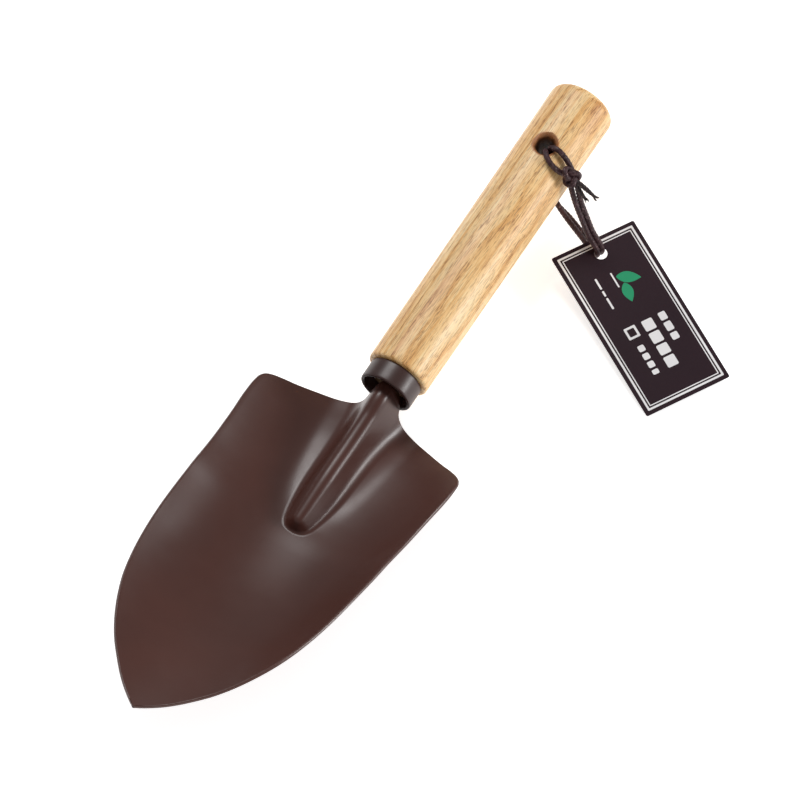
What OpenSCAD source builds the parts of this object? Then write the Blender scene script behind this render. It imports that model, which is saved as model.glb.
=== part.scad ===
// Hand transplanter: a pressed steel scoop blade with a raised stiffening rib,
// a steel ferrule, a turned wooden handle, and a card tag on a cord loop.
// Millimetres. +Y runs from the blade tip to the butt of the handle, +Z is up,
// and the hollow of the blade faces up. The origin is on the ground, under the
// middle of the tool.

/* [Blade] */
// length of the blade, from the ferrule mouth to the tip
blade_len = 160.4; // [150:0.2:172]
// widest part of the blade, just below its shoulders
blade_wid = 84; // [78:0.2:90]
// thickness of the sheet
sheet_t = 1.25; // [1:0.05:1.6]

/* [Ferrule] */
// outer diameter of the ferrule
ferrule_d = 20.8; // [20.4:0.1:22]
// wall of the ferrule
ferrule_wall = 1.4; // [1.1:0.05:1.6]
// length of the ferrule
ferrule_len = 8.2; // [6:0.1:12]

/* [Handle] */
// handle diameter next to the ferrule
handle_d1 = 24.2; // [23:0.1:27]
// handle diameter near the butt
handle_d2 = 25.6; // [24.8:0.1:26.2]
// distance from the ferrule mouth to the end of the butt
handle_end = 141.2; // [138:0.2:150]
// how far the wooden spigot stays back inside the ferrule mouth
spigot_recess = 4.8; // [4.2:0.1:5.4]
// angle of the handle above the ground
handle_tilt = 9.6; // [9.3:0.1:9.9]

/* [Hang hole] */
// diameter of the hang hole
hang_d = 7.0; // [6.8:0.1:8]
// diameter of its countersink at the surface
hang_csk_d = 10.4; // [9:0.1:12]
// distance of the hang hole from the ferrule mouth
hang_at = 111.9; // [110:0.1:112]

/* [Cord and tag] */
// diameter of the cord
cord_d = 2.1; // [1.4:0.1:2.1]
// diameter of the knot
knot_d = 8.2; // [6:0.1:8.4]
// length of the tag
tag_len = 72; // [60:0.5:80]
// width of the tag
tag_wid = 35; // [30:0.5:40]
// thickness of the tag card
tag_t = 0.45; // [0.3:0.05:0.6]
// diameter of the hole in the tag
tag_hole_d = 5.0; // [4.8:0.1:6]

/* [Hidden] */
mouth = [0, 11.48, 14.85];    // centre of the ferrule mouth
blade_pitch = 7.1;            // the blade lies nose down, on its heel and its belly
kx = blade_wid / 84;
ky = blade_len / 160.4;
ferrule_r = ferrule_d / 2;
bore_r = ferrule_r - ferrule_wall;
tang_bore_r = 4.7;
tang_bore_len = 49;

// Profiles down the blade. The first value is the distance from the ferrule
// mouth toward the tip (negative inside the handle).
half_w = [[-48, 1.4], [-40, 2.4], [-24, 3.1], [-5, 3.4], [-2.5, 5.2], [0, 6.6], [1.8, 7.3], [3.1, 9.2],
          [4.2, 12.5], [5.7, 17.5], [8.0, 24], [10.8, 31], [12.7, 35.8], [14.4, 39], [16.2, 40.9], [18.6, 41.8],
          [22.5, 42], [28, 41.8], [36, 41.1], [55, 39.8], [73, 38.8], [91, 37.3], [100, 36.1], [109, 34.4],
          [118, 32], [126, 28.9], [134, 24.9], [141, 20.4], [147, 15.4], [153.5, 9.2], [158.6, 2.9], [160.4, 0.25]];
floor_z = [[0, -16.2], [8, -14.6], [15, -13.0], [22, -11.7], [30, -10.7], [40, -9.6], [50, -8.3], [56, -7.2],
           [62, -6.0], [70, -4.65], [80, -2.5], [90, 0.2], [100, 3.7], [110, 8.0], [120, 13], [130, 18],
           [140, 22.5], [150, 26.5], [160.4, 30.3]];
scoop_r = [[0, 71], [20, 69], [45, 60], [65, 52], [90, 46.8], [110, 46], [161, 46]];
crest_z = [[-48, 0.6], [-30, 2.2], [-5, 3.0], [-1, 4.4], [3, 4.4], [12, 2.6], [25, 1.3],
           [40, 0.5], [50, -0.6], [60, -1.9]];
crest_r = [[-48, 2.2], [-5, 2.4], [0, 3.7], [20, 3.8], [38, 3.7], [50, 3.2], [60, 2.7]];
flank_a = [[-48, 70], [-5, 72], [0, 69], [20, 65], [36, 59], [46, 54], [54, 51.5], [60, 51]];
fillet_r = [[0, 6.5], [20, 5.2], [40, 4.4], [54, 3.4], [60, 3.0]];
skirt_h = [[0, 4.6], [10, 4.1], [20, 3.6], [30, 2.9], [40, 2.0], [50, 0.8], [58, 0], [161, 0]];
skirt_w = [[0, 20], [20, 17.5], [40, 15], [58, 12], [161, 12]];
rib_end = 60;                 // where the profiles of the rib stop
cap_from = 56.5;              // where its rounded end starts
cap_soft = 5;
cap = 1.7;

// rows of the sheet, closer together where its shape changes fast
rows = [-47, -40, -30, -20, -12, -8, -5, -3.6, -2.4, -1.2, 0, 1.2, 2.2, 3, 3.8, 4.4, 5, 5.7, 6.6, 7.8, 9.2,
        11, 13, 16, 20, 25, 30, 35, 40, 44, 48, 51, 53.5, 55, 56.5, 58, 59.5, 61, 62.5, 64, 65.5, 67.5, 70,
        74, 79, 85, 91, 97, 103, 109, 114, 119, 124, 128, 132, 136, 140, 143.5, 147, 150, 153, 155.5, 157.5,
        159, 160, 160.4];
rib_cols = 8;                 // columns from the middle to the foot of the rib
side_cols = 6;                // columns from there to the edge

// monotone cubic through a profile's stations
function at(t, x) =
    x <= t[0][0] ? t[0][1] : x >= t[len(t) - 1][0] ? t[len(t) - 1][1] :
    let (i = max([for (k = [0 : len(t) - 2]) if (t[k][0] <= x) k]),
         h = t[i + 1][0] - t[i][0], u = (x - t[i][0]) / h)
    (1 + 2 * u) * (1 - u) * (1 - u) * t[i][1] + u * (1 - u) * (1 - u) * h * slope_at(t, i)
    + u * u * (3 - 2 * u) * t[i + 1][1] + u * u * (u - 1) * h * slope_at(t, i + 1);
function chord(t, i) = (t[i + 1][1] - t[i][1]) / (t[i + 1][0] - t[i][0]);
function slope_at(t, i) =
    i == 0 ? chord(t, 0) : i == len(t) - 1 ? chord(t, i - 1) :
    let (a = chord(t, i - 1), b = chord(t, i), g = t[i][0] - t[i - 1][0], h = t[i + 1][0] - t[i][0])
    a * b <= 0 ? 0 : 3 * (g + h) / ((2 * h + g) / a + (h + 2 * g) / b);

// height of the rib over the scoop at distance d from its spine
function rib_h(d, s) =
    let (e = min(s, rib_end), h = at(crest_z, e) - at(floor_z, e) - at(skirt_h, e), r = at(crest_r, e), a = at(flank_a, e),
         f = at(fillet_r, e), x1 = r * sin(a), d1 = r * (1 - cos(a)),
         x2 = x1 + max(0, h - d1 - f * (1 - cos(a))) / tan(a), x3 = x2 + f * sin(a))
    d <= x1 ? h - (r - sqrt(r * r - d * d)) :
    d <= x2 ? h - d1 - (d - x1) * tan(a) :
    d < x3 ? f - sqrt(max(0, f * f - (x3 - d) * (x3 - d))) : 0;
// how far past the rib's straight run a station is, eased in
function cap_run(s) =
    let (q = max(0, s - cap_from)) cap * (q < cap_soft ? q * q / (2 * cap_soft) : q - cap_soft / 2);
// the neck and the tang carry on the rib's section alone
function neck_drop(d, s) =
    let (r = at(crest_r, s), a = at(flank_a, s), x1 = r * sin(a))
    d <= x1 ? r - sqrt(r * r - d * d) : r * (1 - cos(a)) + (d - x1) * tan(a);
function foot(s) =
    let (e = max(0, min(s, rib_end)), h = at(crest_z, e) - at(floor_z, e) - at(skirt_h, e), r = at(crest_r, e),
         a = at(flank_a, e), f = at(fillet_r, e))
    r * sin(a) + max(0, h - (r + f) * (1 - cos(a))) / tan(a) + f * sin(a);
function arc_rise(x, s) = let (r = at(scoop_r, max(0, s))) r - sqrt(r * r - x * x);
// low swell of the scoop's floor beside the rib
function skirt(x, s) = let (u = max(0, 1 - pow(x / at(skirt_w, s), 2))) at(skirt_h, s) * u * u;
function face_z(x, s) =
    s <= 0 ? at(crest_z, s) - neck_drop(abs(x), s) + max(0, 1 + s / 5) * arc_rise(x, 0)
             - s * tan(handle_tilt - blade_pitch)
           : at(floor_z, s) + arc_rise(x, s)
             + rib_h(norm([x, cap_run(s)]), s) + skirt(x, s);

function unit(v) = v / norm(v);
function face_n(x, s) =
    unit([-(face_z(x + 0.05, s) - face_z(x - 0.05, s)) / 0.1,
          (face_z(x, s + 0.05) - face_z(x, s - 0.05)) / 0.1, 1]);
function col_x(j, s) =
    let (w = at(half_w, s), f = min(foot(s), 0.62 * w))
    sign(j) * (abs(j) <= rib_cols ? f * abs(j) / rib_cols
                                  : f + (w - f) * (abs(j) - rib_cols) / side_cols);
function raw_pt(x, s) = [x * kx, -(s > 0 ? s * ky : s), face_z(x, s)];
function lay(v) = mouth + [v[0], v[1] * cos(blade_pitch) - v[2] * sin(blade_pitch),
                           v[1] * sin(blade_pitch) + v[2] * cos(blade_pitch)];
function top_pt(x, s) = lay(raw_pt(x, s));
function low_pt(x, s) = lay(raw_pt(x, s) - sheet_t * face_n(x, s));

module sheet() {
    nc = rib_cols + side_cols;
    m = 2 * nc + 1;
    n = len(rows);
    pts = concat([for (s = rows, j = [-nc : nc]) top_pt(col_x(j, s), s)],
                 [for (s = rows, j = [-nc : nc]) low_pt(col_x(j, s), s)]);
    b = n * m;
    faces = concat(
        [for (i = [0 : n - 2], j = [0 : m - 2]) [i * m + j, i * m + j + 1, (i + 1) * m + j + 1]],
        [for (i = [0 : n - 2], j = [0 : m - 2]) [i * m + j, (i + 1) * m + j + 1, (i + 1) * m + j]],
        [for (i = [0 : n - 2], j = [0 : m - 2]) [b + i * m + j, b + (i + 1) * m + j + 1, b + i * m + j + 1]],
        [for (i = [0 : n - 2], j = [0 : m - 2]) [b + i * m + j, b + (i + 1) * m + j, b + (i + 1) * m + j + 1]],
        [for (i = [0 : n - 2]) [i * m, (i + 1) * m, b + (i + 1) * m]],
        [for (i = [0 : n - 2]) [i * m, b + (i + 1) * m, b + i * m]],
        [for (i = [0 : n - 2]) [i * m + m - 1, b + (i + 1) * m + m - 1, (i + 1) * m + m - 1]],
        [for (i = [0 : n - 2]) [i * m + m - 1, b + i * m + m - 1, b + (i + 1) * m + m - 1]],
        [for (j = [0 : m - 2]) [j, b + j, b + j + 1]],
        [for (j = [0 : m - 2]) [j, b + j + 1, j + 1]],
        [for (j = [0 : m - 2]) [(n - 1) * m + j, b + (n - 1) * m + j + 1, b + (n - 1) * m + j]],
        [for (j = [0 : m - 2]) [(n - 1) * m + j, (n - 1) * m + j + 1, b + (n - 1) * m + j + 1]]);
    polyhedron(pts, faces, convexity = 8);
}

// a child drawn along +Z is laid along the handle's axis, from the mouth back
module on_axis() {
    translate(mouth) rotate([handle_tilt - 90, 0, 0]) children();
}

// Cord routes, each a smooth run of points from the knot, through the hang
// hole, under the handle, up through the tag and back to the knot.
turn_a = [[13.50, 117.71, 40.98], [10.70, 118.62, 43.41], [8.10, 118.85, 45.66], [5.50, 119.11, 46.80],
          [3.00, 119.53, 45.84], [2.04, 120.13, 43.20], [2.00, 121.26, 36.08], [2.00, 122.53, 28.18],
          [2.00, 123.65, 21.67], [2.83, 123.67, 18.71], [4.98, 122.36, 17.01], [8.16, 120.14, 15.01],
          [14.01, 118.16, 12.18], [19.67, 116.12, 10.74], [23.90, 114.40, 10.03], [28.22, 112.26, 9.19],
          [30.67, 111.20, 9.96], [31.67, 110.54, 12.29], [30.78, 110.58, 14.62], [28.98, 110.97, 16.38],
          [26.25, 111.44, 19.08], [22.10, 112.77, 24.05], [18.55, 113.55, 29.46], [15.73, 114.25, 34.98],
          [13.90, 115.20, 38.55]];
turn_b = [[12.60, 116.02, 40.06], [11.00, 114.51, 41.59], [8.80, 113.39, 43.36], [6.00, 113.36, 45.18],
          [3.50, 114.67, 46.04], [1.73, 116.92, 45.22], [0.88, 118.33, 42.99], [1.07, 119.26, 35.84],
          [1.00, 120.56, 27.94], [0.98, 121.63, 21.43], [1.56, 121.76, 18.19], [3.50, 121.97, 15.14],
          [6.58, 121.75, 13.00], [10.16, 121.02, 11.65], [13.91, 120.13, 10.96], [19.37, 118.24, 9.85],
          [23.63, 116.59, 9.10], [28.93, 114.42, 9.04], [31.40, 113.21, 10.10], [32.33, 112.56, 12.54],
          [31.56, 112.58, 14.87], [29.76, 112.96, 16.63], [26.89, 113.46, 19.33], [22.93, 114.74, 24.30],
          [19.56, 115.45, 29.70], [17.05, 116.17, 35.24], [15.20, 116.73, 39.15]];
tail_a = [25.70, 115.83, 35.66];   // cut ends of the cord, past the knot
tail_b = [22.60, 114.46, 32.84];
knot_c = [14.22, 114.74, 41.82];
tag_c = [32.52, 111.41, 12.10];   // middle of the hole in the tag
tag_slope = 7.1;              // the card leans from the cord down to the ground
tag_turn = -29.85;
tag_pitch = 4;
tag_edge = 6.4;               // from the hole to the near edge of the tag

// direction and side of a run at each of its points
function along(p, i) = unit(p[min(i + 1, len(p) - 1)] - p[max(i - 1, 0)]);
function side(p, i) =
    i == 0 ? unit(cross(along(p, 0), [0.2, 1, 0.1]))
           : let (s = side(p, i - 1), t = along(p, i)) unit(s - (s * t) * t);
module cord_run(points, d) {
    p = points;
    k = 8;
    n = len(p);
    ring = [for (i = [0 : n - 1]) let (s = side(p, i), t = along(p, i), u = cross(s, t))
            each [for (q = [0 : k - 1]) p[i] + d / 2 * (cos(q * 360 / k) * s + sin(q * 360 / k) * u)]];
    polyhedron(ring, concat(
        [for (i = [0 : n - 2], q = [0 : k - 1]) [i * k + q, i * k + (q + 1) % k, (i + 1) * k + (q + 1) % k]],
        [for (i = [0 : n - 2], q = [0 : k - 1]) [i * k + q, (i + 1) * k + (q + 1) % k, (i + 1) * k + q]],
        [[for (q = [0 : k - 1]) k - 1 - q]],
        [[for (q = [0 : k - 1]) (n - 1) * k + q]]), convexity = 10);
}

// a straight rod from one point to another
module rod(a, b, d) {
    v = b - a;
    translate(a) rotate([0, acos(v[2] / norm(v)), atan2(v[1], v[0])]) cylinder(h = norm(v), d = d, $fn = 24);
}

module blade() {
    color([0.33, 0.23, 0.19]) sheet();
}

module ferrule() {
    color([0.31, 0.21, 0.18])
    on_axis()
    rotate_extrude($fn = 96)
        polygon([[bore_r, 0.25], [bore_r + 0.3, 0], [ferrule_r - 0.45, 0], [ferrule_r, 0.45],
                 [ferrule_r, ferrule_len], [bore_r, ferrule_len]]);
}

module handle() {
    color([0.83, 0.66, 0.44])
    on_axis()
    difference() {
        rotate_extrude($fn = 96)
            polygon(concat(
                [[0, spigot_recess], [bore_r - 0.02, spigot_recess], [bore_r - 0.02, ferrule_len],
                 [handle_d1 / 2 - 0.8, ferrule_len], [handle_d1 / 2, ferrule_len + 0.8],
                 [handle_d1 / 2 + 0.25, 60], [handle_d2 / 2 - 0.18, 115]],
                [for (q = [0 : 15 : 90]) [handle_d2 / 2 - 3.6 + 3.6 * cos(q), handle_end - 4.3 + 3.6 * sin(q)]],
                [[5, handle_end - 0.25], [0, handle_end]]));
        // socket for the tang
        translate([0, 0, spigot_recess - 1]) cylinder(h = tang_bore_len - spigot_recess + 1, r = tang_bore_r, $fn = 48);
        // hang hole, countersunk on both sides
        translate([0, 0, hang_at]) rotate([90, 0, 0]) {
            cylinder(h = 40, r = hang_d / 2, center = true, $fn = 64);
            for (m = [0, 1]) mirror([0, 0, m])
                translate([0, 0, handle_d2 / 2 - 2.08])
                    cylinder(h = 3, r1 = hang_d / 2 - 0.3, r2 = hang_d / 2 - 0.3 + (hang_csk_d - hang_d), $fn = 64);
        }
    }
}

module cord_turn_a() {
    color([0.20, 0.12, 0.13]) cord_run(turn_a, cord_d);
}

module cord_turn_b() {
    color([0.20, 0.12, 0.13]) cord_run(turn_b, cord_d);
}

module cord_knot() {
    color([0.20, 0.12, 0.13]) {
        translate(knot_c) sphere(d = knot_d, $fn = 48);
        rod(knot_c, tail_a, cord_d * 0.9);
        rod(knot_c, tail_b, cord_d * 0.9);
    }
}

module tag_card() {
    color([0.20, 0.13, 0.17])
    translate(tag_c) rotate([tag_slope, 0, 0]) rotate([0, 0, tag_turn]) rotate([0, tag_pitch, 0])
    translate([0, 0, -tag_t / 2])
    difference() {
        translate([-tag_edge, -tag_wid / 2, 0]) cube([tag_len, tag_wid, tag_t]);
        translate([0, 0, -1]) cylinder(h = tag_t + 2, d = tag_hole_d, $fn = 48);
    }
}

blade();
ferrule();
handle();
cord_turn_a();
cord_turn_b();
cord_knot();
tag_card();
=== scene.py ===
"""Hand transplanter: looks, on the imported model's frame. Metres; helpers take millimetres."""
import math

import bmesh
import bpy
import numpy as np
from mathutils import Matrix, Vector


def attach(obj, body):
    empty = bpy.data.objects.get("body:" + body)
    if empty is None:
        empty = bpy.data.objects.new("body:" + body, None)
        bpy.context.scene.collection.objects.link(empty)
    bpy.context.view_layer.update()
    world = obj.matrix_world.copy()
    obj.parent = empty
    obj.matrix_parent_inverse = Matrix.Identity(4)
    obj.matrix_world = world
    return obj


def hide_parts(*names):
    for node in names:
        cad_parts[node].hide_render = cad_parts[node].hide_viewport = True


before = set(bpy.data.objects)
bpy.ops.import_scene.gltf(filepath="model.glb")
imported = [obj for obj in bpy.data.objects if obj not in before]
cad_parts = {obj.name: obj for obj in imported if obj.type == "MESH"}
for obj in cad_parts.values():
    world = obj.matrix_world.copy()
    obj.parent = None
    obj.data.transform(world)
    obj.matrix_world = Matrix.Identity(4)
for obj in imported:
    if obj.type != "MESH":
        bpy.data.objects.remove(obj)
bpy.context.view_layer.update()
MM = 0.001

scene = bpy.context.scene
scene.view_settings.view_transform = "Standard"
scene.view_settings.look = "None"
scene.view_settings.exposure = 0.0
scene.view_settings.gamma = 1.0

# ---------------------------------------------------------------- frame facts (mm)
MOUTH = np.array([0.0, 11.48, 14.85])
TILT = math.radians(9.6)
PITCH_B = math.radians(7.1)  # the blade lies nose down, on its heel and its belly
NOSE = np.array([[1.0, 0.0, 0.0], [0.0, math.cos(PITCH_B), -math.sin(PITCH_B)], [0.0, math.sin(PITCH_B), math.cos(PITCH_B)]])
AXIS = np.array([0.0, math.cos(TILT), math.sin(TILT)])  # along the handle, toward the butt
UPA = np.array([0.0, -math.sin(TILT), math.cos(TILT)])  # square to it, upward
HANG_AT = 111.9

# ---------------------------------------------------------------- camera
back = NOSE @ np.array([0.2484, -0.3984, 0.8829])
back /= np.linalg.norm(back)
right = NOSE @ np.array([0.8485, 0.5290, 0.0])
right /= np.linalg.norm(right)
up = np.cross(back, right)
cam_data = bpy.data.cameras.new("cam")
cam_data.sensor_width = 36.0
cam_data.lens = 18.0 / (144.0 / 1500.0)
cam_data.clip_start = 0.05
cam_data.clip_end = 20.0
cam = bpy.data.objects.new("cam", cam_data)
scene.collection.objects.link(cam)
at_mm = MOUTH + back * 1500.0 + right * 5.44 - up * 2.55
m = Matrix.Identity(4)
for i in range(3):
    m[i][0], m[i][1], m[i][2], m[i][3] = right[i], up[i], back[i], at_mm[i] * MM
cam.matrix_world = m
scene.camera = cam


# ---------------------------------------------------------------- mesh helpers
def unit(v):
    v = np.asarray(v, float)
    return v / np.maximum(np.linalg.norm(v, axis=-1, keepdims=True), 1e-12)


def mesh_object(name, verts_mm, faces, uv=None, smooth_deg=None, materials=()):
    me = bpy.data.meshes.new(name)
    me.from_pydata((np.asarray(verts_mm, float) * MM).tolist(), [], [list(map(int, f)) for f in faces])
    me.validate()
    me.shade_smooth()
    if uv is not None:
        layer = me.uv_layers.new(name="UVMap")
        idx = np.zeros(len(me.loops), int)
        me.loops.foreach_get("vertex_index", idx)
        layer.data.foreach_set("uv", np.asarray(uv, float)[idx].ravel())
    if smooth_deg is not None:
        me.set_sharp_from_angle(angle=math.radians(smooth_deg))
    for mat in materials:
        me.materials.append(mat)
    ob = bpy.data.objects.new(name, me)
    scene.collection.objects.link(ob)
    return ob


def grid_faces(n, m, closed, base=0, flip=False):
    out = []
    for i in range(n - 1):
        for j in range(m if closed else m - 1):
            a, b = base + i * m + j, base + i * m + (j + 1) % m
            c, d = b + m, a + m
            out.append((a, d, c, b) if flip else (a, b, c, d))
    return out


def along_axis(r, ang, z):
    """Point of a lathe about the handle's axis."""
    side = np.array([1.0, 0.0, 0.0])
    r, ang, z = np.broadcast_arrays(r, ang, z)
    return (MOUTH + z[..., None] * AXIS + (r * np.cos(ang))[..., None] * side
            + (r * np.sin(ang))[..., None] * UPA)


def lathe(name, profile, segs, mats, smooth_deg=35.0):
    """Closed lathe about the handle's axis; profile is (r, z), a closed loop, or open with r = 0 at both ends."""
    p = np.asarray(profile, float)
    ends = p[0, 0] < 1e-9 and p[-1, 0] < 1e-9
    ring = p[1:-1] if ends else p
    ang = np.linspace(0, 2 * math.pi, segs, endpoint=False)
    v = along_axis(ring[:, 0][:, None], ang[None, :], ring[:, 1][:, None]).reshape(-1, 3)
    f = grid_faces(len(ring), segs, True)
    if ends:
        a, b = len(v), len(v) + 1
        v = np.vstack([v, along_axis(0.0, 0.0, p[0, 1])[None, :], along_axis(0.0, 0.0, p[-1, 1])[None, :]])
        last = (len(ring) - 1) * segs
        f += [(a, (j + 1) % segs, j) for j in range(segs)]
        f += [(b, last + j, last + (j + 1) % segs) for j in range(segs)]
    else:
        last = (len(ring) - 1) * segs
        f += [(last + j, last + (j + 1) % segs, (j + 1) % segs, j) for j in range(segs)]
    ob = mesh_object(name, v, f, materials=mats)
    fix_normals(ob)
    ob.data.set_sharp_from_angle(angle=math.radians(smooth_deg))
    return ob


def fix_normals(ob):
    bm = bmesh.new()
    bm.from_mesh(ob.data)
    bmesh.ops.recalc_face_normals(bm, faces=bm.faces)
    bm.to_mesh(ob.data)
    bm.free()


def arc(cx, cz, r, a0, a1, n):
    a = np.radians(np.linspace(a0, a1, n))
    return [(cx + r * math.cos(t), cz + r * math.sin(t)) for t in a]


def spline(points, step):
    """Centripetal Catmull-Rom through the points, at about even steps."""
    p = np.asarray(points, float)
    p = np.vstack([2 * p[0] - p[1], p, 2 * p[-1] - p[-2]])
    fine = []
    for i in range(1, len(p) - 2):
        a, b, c, d = p[i - 1 : i + 3]
        t0 = 0.0
        t1 = t0 + np.linalg.norm(b - a) ** 0.5
        t2 = t1 + np.linalg.norm(c - b) ** 0.5
        t3 = t2 + np.linalg.norm(d - c) ** 0.5
        for t in np.linspace(t1, t2, 24, endpoint=False):
            a1 = (t1 - t) / (t1 - t0) * a + (t - t0) / (t1 - t0) * b
            a2 = (t2 - t) / (t2 - t1) * b + (t - t1) / (t2 - t1) * c
            a3 = (t3 - t) / (t3 - t2) * c + (t - t2) / (t3 - t2) * d
            b1 = (t2 - t) / (t2 - t0) * a1 + (t - t0) / (t2 - t0) * a2
            b2 = (t3 - t) / (t3 - t1) * a2 + (t - t1) / (t3 - t1) * a3
            fine.append((t2 - t) / (t2 - t1) * b1 + (t - t1) / (t2 - t1) * b2)
    fine.append(p[-2])
    fine = np.array(fine)
    d = np.concatenate([[0], np.cumsum(np.linalg.norm(np.diff(fine, axis=0), axis=1))])
    n = max(3, int(round(d[-1] / step)) + 1)
    t = np.linspace(0, d[-1], n)
    return np.stack([np.interp(t, d, fine[:, k]) for k in range(3)], 1), d[-1]


def tube_parts(path, radius, lobes=3, depth=0.12, pitch=5.0, segs=18, closed=False, start=0.0):
    """Verts, faces and uv of a twisted tube along the path (mm). radius is a number or one per point."""
    p = np.asarray(path, float)
    n = len(p)
    if closed:
        t = unit(np.roll(p, -1, 0) - np.roll(p, 1, 0))
    else:
        t = unit(np.gradient(p, axis=0))
    s = [unit(np.cross(t[0], [0.2, 1.0, 0.1]))]
    for i in range(1, n):
        s.append(unit(s[-1] - np.dot(s[-1], t[i]) * t[i]))
    s = np.array(s)
    twist = np.zeros(n)
    if closed:  # close the frame's own turn round the loop
        e = unit(s[-1] - np.dot(s[-1], t[0]) * t[0])
        off = math.atan2(np.dot(np.cross(s[0], e), t[0]), np.dot(s[0], e))
        twist = -off * np.arange(n) / n
    u = np.cross(t, s)
    step = np.linalg.norm(np.diff(p, axis=0), axis=1)
    run = np.concatenate([[0], np.cumsum(step)])
    total = run[-1] + (np.linalg.norm(p[0] - p[-1]) if closed else 0)
    if closed:
        pitch = total / max(1, round(total / pitch))
    r = np.broadcast_to(np.asarray(radius, float), (n,))
    a = np.linspace(0, 2 * math.pi, segs, endpoint=False)
    ph = a[None, :] + twist[:, None]
    lob = np.abs(np.cos(lobes / 2.0 * (a[None, :] - 2 * math.pi * (run[:, None] + start) / pitch)))
    rr = r[:, None] * (1 - depth * (1 - lob) ** 1.4 + depth * 0.25)
    v = p[:, None, :] + rr[..., None] * (np.cos(ph)[..., None] * s[:, None, :] + np.sin(ph)[..., None] * u[:, None, :])
    v = v.reshape(-1, 3)
    f = grid_faces(n, segs, True)
    uv = np.stack([np.broadcast_to(a / (2 * math.pi), (n, segs)), np.broadcast_to((run + start)[:, None], (n, segs))], -1).reshape(-1, 2)
    if closed:
        last = (n - 1) * segs
        f += [(last + j, last + (j + 1) % segs, (j + 1) % segs, j) for j in range(segs)]
    else:
        last = (n - 1) * segs
        f += [tuple(range(segs - 1, -1, -1)), tuple(last + j for j in range(segs))]
    return v, f, uv


def joined(parts):
    vs, fs, us, base = [], [], [], 0
    for v, f, uv in parts:
        vs.append(v)
        us.append(uv)
        fs += [tuple(k + base for k in face) for face in f]
        base += len(v)
    return np.vstack(vs), fs, np.vstack(us)


# ---------------------------------------------------------------- material helpers
class Mat:
    """A small node-graph builder."""

    def __init__(self, name):
        self.m = bpy.data.materials.new(name)
        self.m.use_nodes = True
        self.t = self.m.node_tree
        self.t.nodes.clear()
        self.out = self.t.nodes.new("ShaderNodeOutputMaterial")
        self.b = self.t.nodes.new("ShaderNodeBsdfPrincipled")
        self.t.links.new(self.b.outputs[0], self.out.inputs[0])

    def set(self, **kw):
        for k, v in kw.items():
            self.b.inputs[k.replace("_", " ")].default_value = v

    def link(self, a, b):
        self.t.links.new(a, b)

    def node(self, kind, **props):
        n = self.t.nodes.new(kind)
        for k, v in props.items():
            setattr(n, k, v)
        return n

    def put(self, n, key, value):
        if value is None:
            return
        if isinstance(value, bpy.types.NodeSocket):
            self.link(value, n.inputs[key])
        else:
            n.inputs[key].default_value = value

    def coords(self, kind="Object"):
        return self.node("ShaderNodeTexCoord").outputs[kind]

    def mapping(self, vec, scale=(1, 1, 1), rot=(0, 0, 0), loc=(0, 0, 0)):
        n = self.node("ShaderNodeMapping")
        self.link(vec, n.inputs["Vector"])
        n.inputs["Scale"].default_value = scale
        n.inputs["Rotation"].default_value = rot
        n.inputs["Location"].default_value = loc
        return n.outputs[0]

    def noise(self, vec, scale, detail=2.0, rough=0.5, dist=0.0):
        n = self.node("ShaderNodeTexNoise")
        self.link(vec, n.inputs["Vector"])
        n.inputs["Scale"].default_value = scale
        n.inputs["Detail"].default_value = detail
        n.inputs["Roughness"].default_value = rough
        n.inputs["Distortion"].default_value = dist
        return n.outputs["Fac"] if "Fac" in n.outputs else n.outputs[0]

    def math(self, op, a, b=None, c=None, clamp=False):
        n = self.node("ShaderNodeMath", operation=op, use_clamp=clamp)
        self.put(n, 0, a)
        self.put(n, 1, b)
        self.put(n, 2, c)
        return n.outputs[0]

    def remap(self, x, a, b, c=0.0, d=1.0, kind="SMOOTHSTEP"):
        n = self.node("ShaderNodeMapRange", interpolation_type=kind, clamp=True) if kind == "LINEAR" else self.node("ShaderNodeMapRange", interpolation_type=kind)
        self.put(n, 0, x)
        n.inputs[1].default_value = a
        n.inputs[2].default_value = b
        n.inputs[3].default_value = c
        n.inputs[4].default_value = d
        return n.outputs[0]

    def ramp(self, x, stops):
        n = self.node("ShaderNodeValToRGB")
        self.link(x, n.inputs[0])
        e = n.color_ramp.elements
        while len(e) > 1:
            e.remove(e[-1])
        e[0].position, e[0].color = stops[0][0], (*stops[0][1], 1)
        for pos, col in stops[1:]:
            k = e.new(pos)
            k.color = (*col, 1)
        return n.outputs[0]

    def mix(self, fac, a, b, mode="MIX"):
        n = self.node("ShaderNodeMix", data_type="RGBA", blend_type=mode)
        self.put(n, 0, fac)
        for k, v in ((6, a), (7, b)):
            if isinstance(v, bpy.types.NodeSocket):
                self.link(v, n.inputs[k])
            else:
                n.inputs[k].default_value = (*v, 1)
        return n.outputs[2]

    def bump(self, height, strength, distance_mm, normal=None):
        n = self.node("ShaderNodeBump")
        self.link(height, n.inputs["Height"])
        n.inputs["Strength"].default_value = strength
        n.inputs["Distance"].default_value = distance_mm * MM
        if normal is not None:
            self.link(normal, n.inputs["Normal"])
        return n.outputs[0]


def srgb(r, g, b):
    return tuple(((c / 255) / 12.92) if c / 255 <= 0.04045 else (((c / 255) + 0.055) / 1.055) ** 2.4 for c in (r, g, b))


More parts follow.
